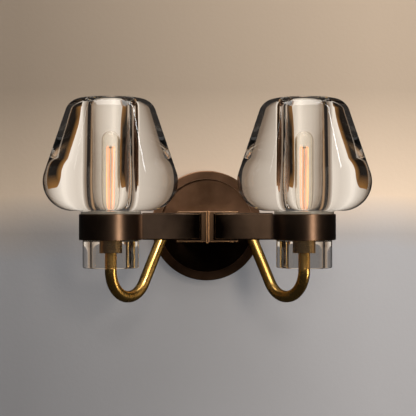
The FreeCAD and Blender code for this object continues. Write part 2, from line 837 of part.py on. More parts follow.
def make_lead(name, side):
    """A jacketed lead with two cores: up into the socket, and to the connectors in the canopy."""
    jacket_top = chamber_bottom.value
    nipple_back = -(floor_back - s.nut_height - s.nipple_end).value
    points, radii = tube_corners(side, jacket_top, nipple_back)
    solid = sweep_round(rounded_path(points, radii), s.lead_radius.value)
    root = s.core_root.value
    core = s.core_radius.value
    axis_x = s.axis_offset.value * side
    end_x = tube_end_offset.value * side
    depth = -s.connector_depth.value
    for up in (-1, 1):
        socket_x = axis_x + s.core_offset.value * up
        foot = vector(socket_x, -s.arm_reach.value, jacket_top - root)
        solid = solid.fuse(Part.makeCylinder(core, tail_bottom.value - foot.z, foot))
        height = s.core_offset.value * up
        run = s.core_run_height.value * up
        mouth = (s.connector_height + s.core_grip).value * up
        gap = s.core_gap.value * side
        start = nipple_back - root
        route = [vector(end_x, start, height), vector(end_x, depth, height), vector(end_x, depth, run),
                 vector(gap, depth, run), vector(gap, depth, mouth)]
        turns = [s.core_turn.value, s.core_bend.value, s.core_bend.value]
        solid = solid.fuse(sweep_round(rounded_path(route, turns), core))
    own_shape(f"{name}_lead", solid)


def make_connectors():
    """Twist-on wire connectors. Each takes one core of either lead through its mouth."""
    cavity = s.core_gap + s.core_radius + s.connector_fit
    crown = s.connector_crown
    for name, up in (("upper", 1), ("lower", -1)):
        body = turned(f"wire_connector_{name}", [
            (cavity, 0), (s.connector_radius, 0), (s.connector_radius, s.connector_skirt),
            (s.connector_tip, s.connector_length - crown), (s.connector_tip - crown, s.connector_length),
            (0, s.connector_length), (0, s.connector_cavity), (cavity, s.connector_cavity)])
        place(body, 0, -s.connector_depth, s.connector_height * up, turn_to(0, 0, up))


# ---- lamp cup and socket ----

def make_cup(name, side):
    bottom = -s.cup_drop
    top = bottom + s.cup_height
    inside = bottom + s.cup_floor
    edge = s.cup_edge
    hole = nipple_radius + s.nipple_fit
    body = turned(f"{name}_cup", [
        (hole, bottom), (s.cup_radius - edge, bottom),
        (s.cup_radius, bottom + edge, s.cup_radius - edge, bottom + edge, edge),
        (s.cup_radius, top), (s.cup_radius - s.cup_wall, top), (s.cup_radius - s.cup_wall, inside),
        (hole, inside)])
    place(body, s.axis_offset * side, -s.arm_reach, 0)


def make_socket_body(name, side):
    hole = nipple_radius + s.nipple_fit
    outer = socket_cavity + s.socket_wall
    top = socket_bottom + s.socket_height
    body = turned(f"{name}_socket_body", [
        (hole, socket_bottom), (outer, socket_bottom), (outer, top), (socket_cavity, top),
        (socket_cavity, socket_seat), (0, socket_seat), (0, chamber_top), (s.chamber_radius, chamber_top),
        (s.chamber_radius, chamber_bottom), (hole, chamber_bottom)])
    slots = sketch_on(body, "XY_Plane", "tail_slots", socket_seat)
    half = s.tail_width / 2 + s.shell_fit
    tail_outer = shell_radius - s.shell_wall
    tail_inner = tail_outer - s.tail_thickness
    strip_inner = s.contact_reach - s.contact_sheet
    draw_rectangle(slots, tail_inner - s.shell_fit, tail_outer + s.shell_fit, -half, half)
    draw_rectangle(slots, -(s.contact_reach + s.shell_fit), -(strip_inner - s.shell_fit), -half, half)
    pocket(body, "tail_slot_cut", slots, s.socket_floor)
    place(body, s.axis_offset * side, -s.arm_reach, 0)


def make_socket_shell(name, side):
    """The screw shell, with a tail that carries the current down through the socket's floor."""
    inner = shell_radius - s.shell_wall
    top = socket_seat + s.shell_height
    lip = s.contact_reach + s.contact_sheet
    floor_top = socket_seat + s.shell_wall
    body = turned(f"{name}_socket_shell", [
        (lip, socket_seat), (shell_radius, socket_seat), (shell_radius, top), (inner, top),
        (inner, floor_top), (lip, floor_top)])
    tail = sketch_on(body, "XZ_Plane", "tail")
    back = inner - s.tail_thickness
    foot = s.core_offset + s.core_radius + s.shell_fit
    foot_top = tail_bottom + s.contact_sheet
    draw_outline(tail, [(foot, tail_bottom), (inner, tail_bottom), (inner, floor_top),
                        (back, floor_top), (back, foot_top), (foot, foot_top)])
    pad(body, "tail_pad", tail, s.tail_width, symmetric=True)
    place(body, s.axis_offset * side, -s.arm_reach, 0)


def make_socket_contact(name, side):
    """A bent strip: a foot under the floor, a tail through it and a tongue under the lamp."""
    body = new_body(f"{name}_socket_contact")
    strip = sketch_on(body, "XZ_Plane", "strip")
    sheet_wall = s.contact_sheet
    left = -s.contact_reach
    foot = -(s.core_offset + s.core_radius + s.shell_fit)
    bend = -s.contact_bend
    top_bend = bend + s.contact_slope
    foot_top = tail_bottom + sheet_wall
    tongue_bottom = contact_top - sheet_wall
    draw_outline(strip, [
        (foot, tail_bottom), (foot, foot_top), (left + sheet_wall, foot_top),
        (left + sheet_wall, socket_seat), (bend, socket_seat), (top_bend, tongue_bottom),
        (s.contact_tongue, tongue_bottom), (s.contact_tongue, contact_top), (top_bend, contact_top),
        (bend, socket_seat + sheet_wall), (left, socket_seat + sheet_wall), (left, tail_bottom)])
    pad(body, "strip_pad", strip, s.tail_width, symmetric=True)
    place(body, s.axis_offset * side, -s.arm_reach, 0)


# ---- lamp ----

def make_lamp_cap(name, side):
    """The screw cap, with a row of round crests."""
    root = s.cap_radius - s.cap_thread_depth
    half = s.cap_crest / 2
    crest = (half * half + s.cap_thread_depth * s.cap_thread_depth) / (s.cap_thread_depth * 2)
    corners = [(cap_inner, cap_bottom), (root, cap_bottom)]
    turns = int((s.cap_length - s.cap_plain_length).value / s.cap_pitch.value)
    for turn in range(turns):
        middle = cap_bottom + s.cap_pitch * (turn + 0.5)
        corners.append((root, middle - half))
        corners.append((root, middle + half, s.cap_radius - crest, middle, crest))
    corners += [(root, cap_top), (cap_inner, cap_top)]
    body = turned(f"{name}_lamp_cap", corners)
    place(body, s.axis_offset * side, -s.arm_reach, 0)


def make_lamp_base(name, side):
    plug = cap_inner - s.lamp_neck_fit
    top = cap_bottom + s.insulator_rim
    insulator = turned(f"{name}_lamp_insulator", [
        (0, insulator_bottom), (s.lamp_contact_radius, insulator_bottom), (plug, cap_bottom), (plug, top),
        (0, top)])
    contact = turned(f"{name}_lamp_contact", [
        (0, lamp_bottom), (s.lamp_contact_radius - s.lamp_contact_bevel, lamp_bottom),
        (s.lamp_contact_radius, insulator_bottom), (0, insulator_bottom)])
    for body in (insulator, contact):
        place(body, s.axis_offset * side, -s.arm_reach, 0)


def make_lamp_glass(name, side):
    """A tubular envelope: a neck in the cap, a curved shoulder, a straight wall and a round top."""
    neck = cap_inner - s.lamp_neck_fit
    foot = cap_top - s.lamp_neck_depth
    wall = s.lamp_glass
    widen = s.lamp_radius - neck
    curve = (widen * widen + s.lamp_shoulder * s.lamp_shoulder) / (widen * 4)
    low = cap_top
    high = cap_top + s.lamp_shoulder
    middle = (low + high) / 2
    lower = neck + curve
    upper = s.lamp_radius - curve
    halfway = (neck + s.lamp_radius) / 2
    ratio_x = (halfway - upper) / curve
    ratio_z = (high - middle) / curve
    dome = lamp_top - s.lamp_radius
    body = turned(f"{name}_lamp_envelope", [
        (neck - wall, foot), (neck, foot), (neck, low), (halfway, middle, lower, low, curve),
        (s.lamp_radius, high, upper, high, curve), (s.lamp_radius, dome),
        (0, lamp_top, 0, dome, s.lamp_radius), (0, lamp_top - wall),
        (s.lamp_radius - wall, dome, 0, dome, s.lamp_radius - wall), (s.lamp_radius - wall, high),
        (halfway - wall * ratio_x, middle + wall * ratio_z, upper, high, curve - wall),
        (neck - wall, low, lower, low, curve + wall)])
    place(body, s.axis_offset * side, -s.arm_reach, 0)


def make_lamp_stem(name, side):
    """The glass mount: a foot in the neck, a thick stem and a thin rod up the middle."""
    foot_radius = cap_inner - s.lamp_neck_fit * 2 - s.lamp_glass
    foot = cap_top - s.lamp_neck_depth
    stem_bottom = foot + s.stem_flare
    stem_top = stem_bottom + s.stem_height
    rod_top = filament_top + s.holder_height
    body = turned(f"{name}_lamp_stem", [
        (0, foot), (foot_radius, foot), (foot_radius, foot + s.lamp_glass), (s.stem_radius, stem_bottom),
        (s.stem_radius, stem_top - s.stem_radius), (s.rod_radius, stem_top),
        (s.rod_radius, rod_top), (0, rod_top)])
    place(body, s.axis_offset * side, -s.arm_reach, 0)


def strand_spot(index):
    angle = math.radians(360 / STRANDS * (index + 0.5))
    return vector(math.cos(angle), math.sin(angle), 0) * s.filament_radius.value


def make_filament(name, side):
    """A cage of upright strands, joined in turn at the top and at the bottom by half rounds."""
    bend = (strand_spot(1) - strand_spot(0)).Length / 2
    low = filament_bottom.value + bend
    high = filament_top.value - bend
    edges = []
    for index in range(STRANDS):
        here = strand_spot(index)
        rising = index % 2 == 0
        ends = (low, high) if rising else (high, low)
        edges.append(Part.LineSegment(here + vector(0, 0, ends[0]), here + vector(0, 0, ends[1])).toShape())
        if index == STRANDS - 1:
            continue
        there = strand_spot(index + 1)
        level = vector(0, 0, ends[1])
        crown = vector(0, 0, bend if rising else -bend)
        edges.append(Part.Arc(here + level, (here + there) * 0.5 + level + crown, there + level).toShape())
    filament = own_shape(f"{name}_filament", sweep_round(Part.Wire(edges), s.filament_wire.value))
    place(filament, s.axis_offset * side, -s.arm_reach, 0)


def make_filament_holder(name, side):
    """A hub on the rod at each end of the cage, with a fine wire out to each loop."""
    hub_bore = s.rod_radius.value + s.holder_fit.value
    hub = hub_bore + s.holder_hub.value
    height = s.holder_height.value
    wire = s.holder_wire.value
    inside = s.filament_wire.value + wire + s.holder_gap.value
    solids = []
    for level, first in ((filament_top.value - inside, 0), (filament_bottom.value + inside, 1)):
        base = vector(0, 0, level - height / 2)
        solid = Part.makeCylinder(hub, height, base)
        for index in range(first, STRANDS - 1, 2):
            reach = (strand_spot(index) + strand_spot(index + 1)) * 0.5
            length = reach.Length
            solid = solid.fuse(Part.makeCylinder(wire, length, vector(0, 0, level), reach))
        solids.append(solid.cut(Part.makeCylinder(hub_bore, height, base)))
    holder = own_shape(f"{name}_filament_holder", Part.makeCompound(solids))
    place(holder, s.axis_offset * side, -s.arm_reach, 0)


# ---- build, check and write ----

def build():
    make_canopy()
    make_strap()
    make_canopy_screws()
    make_tee()
    make_tee_screws()
    make_connectors()
    for name, side in (("left", -1), ("right", 1)):
        make_arm(name, side)
        make_arm_screws(name, side)
        make_ring(name, side)
        make_ring_screw(name, side)
        make_seat(name, side)
        make_shade(name, side)
        make_tube(name, side)
        make_nipples(name, side)
        make_nuts(name, side)
        make_lead(name, side)
        make_cup(name, side)
        make_socket_body(name, side)
        make_socket_shell(name, side)
        make_socket_contact(name, side)
        make_lamp_cap(name, side)
        make_lamp_base(name, side)
        make_lamp_glass(name, side)
        make_lamp_stem(name, side)
        make_filament(name, side)
        make_filament_holder(name, side)
    doc.recompute()


def check():
    for item in doc.Objects:
        states = [state for state in item.State if "Invalid" in state or "Error" in state]
        if states:
            raise RuntimeError(f"{item.Name} failed: {states}")
        if item.TypeId in ("PartDesign::Pocket", "PartDesign::Groove"):
            before = item.BaseFeature.Shape.Volume
            if before - item.Shape.Volume < NEAR:
                raise RuntimeError(f"{item.Name} cuts nothing")
    for node in nodes:
        if node.Shape.isNull() or not node.Shape.isValid():
            raise RuntimeError(f"{node.Label} has no valid shape")


def write():
    os.makedirs("parts", exist_ok=True)
    for node in nodes:
        node.Shape.exportStep(os.path.join("parts", f"{node.Label}.step"))
    print(len(nodes), "pieces written")


build()
check()
write()
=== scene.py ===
import json
import math

import bpy
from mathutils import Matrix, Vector


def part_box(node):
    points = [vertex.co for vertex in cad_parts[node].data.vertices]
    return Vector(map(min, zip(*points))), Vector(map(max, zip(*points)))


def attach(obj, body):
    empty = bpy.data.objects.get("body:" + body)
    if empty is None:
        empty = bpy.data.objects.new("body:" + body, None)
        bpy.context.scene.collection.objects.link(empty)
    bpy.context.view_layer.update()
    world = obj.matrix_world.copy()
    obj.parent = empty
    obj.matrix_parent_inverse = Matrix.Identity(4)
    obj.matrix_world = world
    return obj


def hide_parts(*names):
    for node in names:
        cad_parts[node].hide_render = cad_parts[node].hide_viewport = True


# Double arm wall sconce, in metres. The wall is the plane y = 0, the light stands out towards -y,
# x is to the right and z is up.

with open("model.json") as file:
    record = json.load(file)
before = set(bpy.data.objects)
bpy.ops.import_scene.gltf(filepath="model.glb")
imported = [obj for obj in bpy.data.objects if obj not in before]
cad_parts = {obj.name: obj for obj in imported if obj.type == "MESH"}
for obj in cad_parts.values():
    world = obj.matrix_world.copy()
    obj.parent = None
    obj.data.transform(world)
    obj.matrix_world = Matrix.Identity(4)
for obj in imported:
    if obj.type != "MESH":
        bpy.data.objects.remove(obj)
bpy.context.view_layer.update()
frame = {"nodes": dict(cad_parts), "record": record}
nodes = frame["nodes"]
sides = ("left", "right")
print("frame loaded:", len(nodes), "nodes")


# nodes for the materials; an owner is a material or the world

def addNode(owner, kind, **settings):
    node = owner.node_tree.nodes.new("ShaderNode" + kind)
    for name, value in settings.items():
        setattr(node, name, value)
    return node


def feed(node, inputs):
    for name, value in inputs.items():
        if isinstance(value, bpy.types.NodeSocket):
            node.id_data.links.new(value, node.inputs[name])
        else:
            node.inputs[name].default_value = value
    return node


def mathStep(owner, operation, *values):
    # one step of arithmetic on numbers and on other nodes' results
    return feed(addNode(owner, "Math", operation=operation), dict(enumerate(values))).outputs[0]


def newMaterial(name):
    material = bpy.data.materials.new(name)
    material.use_nodes = True
    return material, material.node_tree.nodes["Principled BSDF"]


def objectPlace(material):
    return addNode(material, "TexCoord").outputs["Object"]


def placeParts(material):
    return feed(addNode(material, "SeparateXYZ"), {"Vector": objectPlace(material)}).outputs


def noiseField(material, scale, stretch=(1, 1, 1), detail=3.0, place=None):
    mapped = addNode(material, "Mapping")
    feed(mapped, {"Vector": place or objectPlace(material), "Scale": stretch})
    noise = addNode(material, "TexNoise")
    feed(noise, {"Vector": mapped.outputs["Vector"], "Scale": scale, "Detail": detail})
    return noise.outputs["Fac"]


def between(material, value, low, high, start=0.3, end=0.7):
    ranged = addNode(material, "MapRange")
    feed(ranged, {"Value": value, "From Min": start, "From Max": end, "To Min": low, "To Max": high})
    return ranged.outputs["Result"]


def mixedColor(material, factor, first, second):
    mix = addNode(material, "Mix", data_type="RGBA")
    feed(mix, {0: factor, 6: first, 7: second})
    return mix.outputs[2]


def rgb(color):
    return (*color, 1.0)


def surfaceBump(material, height, depth):
    return feed(addNode(material, "Bump"), {"Height": height, "Distance": depth}).outputs["Normal"]


def axisDistance(material, parts):
    # how far a point lies from the canopy's axis, which runs along y
    flat = feed(addNode(material, "CombineXYZ"), {"X": parts["X"], "Y": parts["Z"]})
    length = addNode(material, "VectorMath", operation="LENGTH")
    return feed(length, {0: flat.outputs["Vector"]}).outputs["Value"]


def spunPlace(material):
    # places for a finish spun on a lathe: the distance from the axis, and the depth along it
    parts = placeParts(material)
    spun = feed(addNode(material, "CombineXYZ"), {"X": axisDistance(material, parts), "Y": parts["Y"]})
    return spun.outputs["Vector"]


def wornEdges(material, look):
    # where a rounded normal leaves the true one, the finish is rubbed
    rounded = feed(addNode(material, "Bevel", samples=4), {"Radius": look["wornWidth"]})
    true = addNode(material, "NewGeometry").outputs["Normal"]
    dot = addNode(material, "VectorMath", operation="DOT_PRODUCT")
    feed(dot, {0: rounded.outputs["Normal"], 1: true})
    return between(material, dot.outputs["Value"], 1.0, 0.0, look["wornFull"], look["wornNone"])


def dishPaintedShade(material, look):
    # 0 in the painted shadow over the dish's lower half, broken up by a cloud of noise, and 1 where it is
    # unshaded
    parts = placeParts(material)
    radius = axisDistance(material, parts)
    outside = between(material, radius, 0.0, 1.0, look["dishRadius"] - look["dishEdge"], look["dishRadius"])
    above = between(material, parts["Z"], 0.0, 1.0, look["paintedShadeFrom"], look["paintedShadeTo"])
    cloud = noiseField(material, look["paintedShadeScale"], detail=4.0)
    clouded = between(material, cloud, 0.0, look["cloudShare"], look["cloudFrom"], look["cloudTo"])
    return mathStep(material, "MAXIMUM", mathStep(material, "MAXIMUM", above, clouded), outside)


def cornerPaintedShade(material, look):
    # 0 in the painted shade and dark reflection near the corner between arm and fin, and 1 away from it
    away = mathStep(material, "ABSOLUTE", placeParts(material)["X"])
    cloud = noiseField(material, look["patchScale"])
    drift = between(material, cloud, -look["paintedShadeDrift"], look["paintedShadeDrift"])
    edge = mathStep(material, "ADD", away, drift)
    return between(material, edge, 0.0, 1.0, look["paintedShadeFrom"], look["paintedShadeTo"])


# metals: a patchy colour, a fine grain along the work, painted shade in the canopy's dish and towards the
# arms' inner ends, and lighter edges where hands and cloths rub

def metalFinish(name, look):
    material, shader = newMaterial(name)
    patches = noiseField(material, look["patchScale"], detail=4.0)
    color = mixedColor(material, between(material, patches, 0, 1), rgb(look["dark"]), rgb(look["light"]))
    # painted shade: a painted shadow over the canopy dish's lower half, and darkening towards the arms'
    # inner ends
    if "paintedShade" in look:
        unshaded = dishPaintedShade(material, look) if "dishRadius" in look else cornerPaintedShade(material, look)
        color = mixedColor(material, unshaded, rgb(look["paintedShade"]), color)
    if "worn" in look:
        rub = between(material, noiseField(material, look["wornScale"], detail=5.0), look["wornLeast"], 1.0)
        color = mixedColor(material, mathStep(material, "MULTIPLY", wornEdges(material, look), rub),
                           color, rgb(look["worn"]))
    place = spunPlace(material) if look.get("spun") else None
    grain = noiseField(material, look["grainScale"], look["grainStretch"], detail=2.0, place=place)
    smudge = noiseField(material, look["smudgeScale"], detail=5.0)
    low, high = look["roughness"]
    rough = mathStep(material, "ADD", between(material, smudge, low, high),
                   between(material, grain, -look["grainRough"], look["grainRough"]))
    feed(shader, {"Base Color": color, "Metallic": look["metallic"], "Roughness": rough,
                  "Normal": surfaceBump(material, grain, look["grainDepth"])})
    return material


bronze = {"dark": (0.075, 0.049, 0.036), "light": (0.125, 0.084, 0.060), "patchScale": 30.0,
          "worn": (0.80, 0.46, 0.24), "wornScale": 260.0, "wornWidth": 0.0006, "wornLeast": 0.25,
          "wornFull": 0.75, "wornNone": 0.99,   # the cosine of the turn from the true normal
          "grainScale": 2200.0, "grainStretch": (0.03, 1.0, 1.0), "grainRough": 0.012,
          "grainDepth": 0.0000012, "smudgeScale": 45.0, "roughness": (0.29, 0.35), "metallic": 1.0}
# the arms' bronze darkens towards their inner ends with painted shade
armBronze = metalFinish("armBronze", {
    **bronze, "dark": (0.10, 0.066, 0.048), "light": (0.155, 0.102, 0.070),
    "paintedShade": (0.003, 0.002, 0.0015), "paintedShadeFrom": 0.014, "paintedShadeTo": 0.05, "paintedShadeDrift": 0.004})
ringBronze = metalFinish("ringBronze", {**bronze, "grainStretch": (0.03, 0.03, 1.0)})
teeBronze = metalFinish("teeBronze", {
    **bronze, "dark": (0.035, 0.022, 0.015), "light": (0.06, 0.038, 0.026), "wornWidth": 0.0013,
    "grainStretch": (1.0, 0.04, 1.0)})
# the canopy's dish is darkened over its lower half with a painted shadow of the tee block
canopyBronze = metalFinish("canopyBronze", {
    **bronze, "dark": (0.14, 0.074, 0.040), "light": (0.29, 0.160, 0.094), "worn": (0.7, 0.42, 0.25),
    "spun": True, "grainStretch": (1.0, 1.0, 1.0), "grainScale": 1400.0, "roughness": (0.36, 0.44),
    "wornWidth": 0.0008, "paintedShade": (0.022, 0.013, 0.008), "paintedShadeScale": 34.0,
    "paintedShadeFrom": -0.014, "paintedShadeTo": 0.004, "dishRadius": 0.0538, "dishEdge": 0.0004,
    "cloudShare": 0.22, "cloudFrom": 0.35, "cloudTo": 0.75})
screwBronze = metalFinish("screwBronze", {**bronze, "grainStretch": (0.3, 0.3, 0.3),
                                          "roughness": (0.3, 0.42)})
brass = {"dark": (0.60, 0.34, 0.09), "light": (0.70, 0.43, 0.13), "patchScale": 40.0, "smudgeScale": 60.0,
         "grainScale": 2400.0, "grainStretch": (1.0, 1.0, 0.15), "grainRough": 0.01,
         "grainDepth": 0.0000008, "roughness": (0.25, 0.3), "metallic": 1.0}
tubeBrass = metalFinish("tubeBrass", brass)
cupBrass = metalFinish("cupBrass", {**brass, "dark": (0.30, 0.19, 0.09), "light": (0.44, 0.29, 0.14),
                                    "grainStretch": (0.05, 0.05, 1.0)})
steel = {"dark": (0.50, 0.50, 0.49), "light": (0.68, 0.68, 0.66), "patchScale": 120.0, "smudgeScale": 200.0,
         "grainScale": 1200.0, "grainStretch": (0.1, 1.0, 1.0), "grainRough": 0.05, "grainDepth": 0.00001,
         "roughness": (0.3, 0.45), "metallic": 1.0}
zincSteel = metalFinish("zincSteel", steel)
screwSteel = metalFinish("screwSteel", {**steel, "grainStretch": (1, 1, 1), "roughness": (0.25, 0.4)})
socketMetal = metalFinish("socketMetal", {**steel, "dark": (0.55, 0.42, 0.22), "light": (0.74, 0.6, 0.36)})
capMetal = metalFinish("capMetal", {**steel, "dark": (0.56, 0.5, 0.4), "light": (0.74, 0.68, 0.57),
                                    "grainStretch": (0.05, 0.05, 1.0), "roughness": (0.2, 0.34)})
solder = metalFinish("solder", {**steel, "grainStretch": (1, 1, 1), "grainScale": 2600.0,
                                "grainDepth": 0.00004, "roughness": (0.35, 0.55)})
holderWire = metalFinish("holderWire", {**steel, "dark": (0.25, 0.23, 0.21), "light": (0.38, 0.36, 0.33)})
print("metals ready")


# plastics and the soft seat

def plasticFinish(name, look):
    material, shader = newMaterial(name)
    cloud = noiseField(material, look["cloudScale"], detail=4.0)
    pores = noiseField(material, look["poreScale"], detail=2.0)
    color = mixedColor(material, between(material, cloud, 0, 1), rgb(look["dark"]), rgb(look["light"]))
    low, high = look["roughness"]
    feed(shader, {"Base Color": color, "Roughness": between(material, pores, low, high),
                  "Normal": surfaceBump(material, pores, look["poreDepth"]),
                  "Transmission Weight": look.get("clear", 0.0), "IOR": look.get("bend", 1.5)})
    return material


moulded = {"dark": (0.6, 0.57, 0.5), "light": (0.7, 0.67, 0.6), "cloudScale": 160.0, "poreScale": 1500.0,
           "poreDepth": 0.00003, "roughness": (0.4, 0.55)}
connectorPlastic = plasticFinish("connectorPlastic", moulded)
leadJacket = plasticFinish("leadJacket", {**moulded, "dark": (0.62, 0.6, 0.55), "light": (0.72, 0.7, 0.66)})
socketPlastic = plasticFinish("socketPlastic", {**moulded, "dark": (0.03, 0.028, 0.026),
                                                "light": (0.05, 0.047, 0.044)})
capGlass = plasticFinish("capGlass", {**moulded, "dark": (0.02, 0.02, 0.02), "light": (0.04, 0.04, 0.04),
                                      "roughness": (0.08, 0.2), "poreDepth": 0.000004})
clearSeat = plasticFinish("clearSeat", {**moulded, "dark": (0.42, 0.39, 0.34), "light": (0.55, 0.51, 0.45),
                                        "roughness": (0.28, 0.4), "clear": 0.75, "bend": 1.41,
                                        "poreDepth": 0.00001})


# glass: clear right through, with the slow ripple and faint striae of a casting; the lamp's own glass
# also has a faint warm haze

def glassFinish(name, look):
    material, shader = newMaterial(name)
    ripple = noiseField(material, look["rippleScale"], look["rippleStretch"], detail=2.0)
    striae = noiseField(material, look["striaeScale"], look["striaeStretch"])
    color = mixedColor(material, between(material, striae, 0, 1), rgb(look["dark"]), rgb(look["light"]))
    film = noiseField(material, look["filmScale"], detail=5.0)
    low, high = look["roughness"]
    rough = between(material, film, low, high, look["filmFrom"], look["filmTo"])
    feed(shader, {"Base Color": color, "Roughness": rough, "IOR": look["bend"], "Transmission Weight": 1.0,
                  "Normal": surfaceBump(material, ripple, look["rippleDepth"])})
    if "haze" in look:
        least, most = look["haze"]
        feed(shader, {"Emission Color": rgb(look["hazeColor"]),
                      "Emission Strength": between(material, film, least, most)})
    return material


castGlass = {"dark": (0.97, 0.948, 0.915), "light": (0.99, 0.975, 0.95), "bend": 1.5,
             "rippleScale": 26.0, "rippleStretch": (1, 1, 0.35), "rippleDepth": 0.0002,
             "striaeScale": 60.0, "striaeStretch": (1, 1, 0.2),
             "filmScale": 300.0, "filmFrom": 0.5, "filmTo": 0.8, "roughness": (0.0, 0.01)}
shadeGlass = glassFinish("shadeGlass", castGlass)
lampGlass = glassFinish("lampGlass", {**castGlass, "rippleScale": 60.0, "rippleDepth": 0.00003,
                                      "haze": (0.03, 0.05), "hazeColor": (1.0, 0.84, 0.58),
                                      "dark": (0.985, 0.98, 0.97), "light": (1.0, 0.995, 0.99)})
stemGlass = glassFinish("stemGlass", {**castGlass, "rippleScale": 120.0, "rippleDepth": 0.00004,
                                      "dark": (0.92, 0.91, 0.89), "light": (0.97, 0.96, 0.95)})


def glowFinish(name, look):
    # a hot wire, brighter and yellower in places along each strand
    material, shader = newMaterial(name)
    flicker = noiseField(material, look["flickerScale"], look["flickerStretch"], detail=4.0)
    color = mixedColor(material, between(material, flicker, 0, 1), rgb(look["cool"]), rgb(look["hot"]))
    low, high = look["strength"]
    feed(shader, {"Base Color": color, "Emission Color": color, "Roughness": look["roughness"],
                  "Emission Strength": between(material, flicker, low, high)})
    return material


filamentGlow = glowFinish("filamentGlow", {
    "cool": (0.85, 0.14, 0.02), "hot": (1.0, 0.50, 0.16), "strength": (0.4, 1.9), "roughness": 0.5,
    "flickerScale": 900.0, "flickerStretch": (1, 1, 0.05)})
print("plastics and glass ready")

finishes = {
    "canopy_bronze": canopyBronze, "tee_bronze": teeBronze, "arm_bronze": armBronze,
    "ring_bronze": ringBronze, "screw_bronze": screwBronze, "zinc_steel": zincSteel,
    "screw_steel": screwSteel, "connector_plastic": connectorPlastic, "clear_seat": clearSeat,
    "shade_glass": shadeGlass, "tube_brass": tubeBrass, "cup_brass": cupBrass,
    "lead_jacket": leadJacket, "socket_plastic": socketPlastic, "socket_metal": socketMetal,
    "lamp_cap_metal": capMetal, "lamp_insulator": capGlass, "lamp_solder": solder,
    "lamp_glass": lampGlass, "lamp_stem_glass": stemGlass, "filament_wire": filamentGlow,
    "holder_wire": holderWire}
slotOf = {row["node"]: row["material_slot"] for row in frame["record"]["subparts"]}
for name, piece in nodes.items():
    piece.data.materials.clear()
    piece.data.materials.append(finishes[slotOf[name]])
print("CAD pieces finished in", len(finishes), "materials")


# shades, turned at the CAD shade's own sizes from a ring of edges that climbs the outline

shade = {"segments": 224, "bore": 0.0205, "neck": 0.030, "neckLength": 0.0612, "height": 0.1204,
         "bellyCenter": 0.0410, "bellyRadius": 0.0314, "shoulderCenter": 0.0312, "shoulderRadius": 0.018,
         "root": 0.004, "edge": 0.0015, "undersideAboveRing": 0.0034,
         "arcStep": math.radians(4), "rootStep": math.radians(8), "edgeStep": math.radians(16)}


def arcPoints(centerRadius, centerHeight, radius, start, end, step):
    count = max(3, round(abs(end - start) / step))
    angles = [start + (end - start) * index / count for index in range(count + 1)]
    return [(centerRadius + radius * math.cos(a), centerHeight + radius * math.sin(a)) for a in angles]


def shadeOutline(look, underside):
    # from the neck's lower edge up the outside, over the rim and down into the bore
    bottom = underside - look["neckLength"]
    top = underside + look["height"]
    edge, root, shoulder = look["edge"], look["root"], look["shoulderRadius"]
    arcStep, edgeStep = look["arcStep"], look["edgeStep"]
    bellyHeight = underside + look["bellyRadius"]
    shoulderHeight = top - shoulder
    run = look["shoulderCenter"] - look["bellyCenter"]
    rise = shoulderHeight - bellyHeight
    taper = math.acos((look["bellyRadius"] - shoulder) / math.hypot(run, rise))
    lean = math.atan2(rise, run) - taper   # where both arcs meet the straight side
    quarter = math.pi / 2
    points = arcPoints(look["neck"] - edge, bottom + edge, edge, -quarter, 0, edgeStep)
    points += arcPoints(look["neck"] + root, underside - root, root, math.pi, quarter, look["rootStep"])
    points += arcPoints(look["bellyCenter"], bellyHeight, look["bellyRadius"], -quarter, lean, arcStep)
    points += arcPoints(look["shoulderCenter"], shoulderHeight, shoulder, lean, quarter, arcStep)
    points += arcPoints(look["bore"] + edge, top - edge, edge, quarter, math.pi, edgeStep)
    points += arcPoints(look["bore"] + edge, bottom + edge, edge, math.pi, math.pi + quarter, edgeStep)
    return points


def turnRing(name, centerX, centerY, outline, segments):
    bpy.ops.object.select_all(action="DESELECT")
    radius, height = outline[0]
    bpy.ops.mesh.primitive_circle_add(vertices=segments, radius=radius, location=(centerX, centerY, height))
    piece = bpy.context.object
    piece.name = name
    bpy.ops.object.transform_apply(location=True, rotation=True, scale=True)
    bpy.ops.object.mode_set(mode="EDIT")
    bpy.ops.mesh.select_mode(type="EDGE")
    bpy.ops.mesh.select_all(action="SELECT")
    for (oldRadius, oldHeight), (newRadius, newHeight) in zip(outline, outline[1:]):
        grow = newRadius / oldRadius
        bpy.ops.mesh.extrude_region_move(TRANSFORM_OT_translate={"value": (0, 0, newHeight - oldHeight)})
        bpy.ops.transform.resize(value=(grow, grow, 1), center_override=(centerX, centerY, newHeight))
    bpy.ops.mesh.select_all(action="DESELECT")
    bpy.ops.mesh.select_non_manifold()
    bpy.ops.mesh.bridge_edge_loops()
    bpy.ops.mesh.select_all(action="SELECT")
    bpy.ops.mesh.normals_make_consistent(inside=False)
    bpy.ops.object.mode_set(mode="OBJECT")
    bpy.ops.object.shade_smooth()
    return piece


for side in sides:
    low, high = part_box(side + "_shade")
    middle = (low + high) / 2
    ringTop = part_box(side + "_ring")[1].z
    outline = shadeOutline(shade, ringTop + shade["undersideAboveRing"])
    piece = turnRing(side + "_glass_shade", middle.x, middle.y, outline, shade["segments"])
    piece.data.materials.append(shadeGlass)
    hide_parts(side + "_shade")
    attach(piece, side + "_shade")
print("shades turned")


# room: a wall with an opening behind the canopy, as a wall box has, and a floor well below

room = {"wallHigh": (0.375, 0.308, 0.245), "wallLow": (0.345, 0.352, 0.378),
        "turnFrom": -0.035, "turnTo": 0.03, "turnDrift": 0.03,
        "leftDim": 0.54, "dimFrom": -0.22, "dimTo": 0.20,
        "bandFrom": -0.01, "bandFull": 0.035, "bandTo": 0.16, "bandLift": 0.7,
        "wallGlow": 0.42, "wallReach": 2.6, "boxOpening": 0.056, "openingSides": 64,
        "floorColor": (0.5, 0.485, 0.47), "floorDim": 0.95, "floorDepth": 0.62, "floorReach": 3.2,
        "plasterScale": 2.6, "plasterDepth": 0.00015, "plasterGrain": 220.0,
        "plasterRoughness": 0.9, "plasterGloss": 0.1}


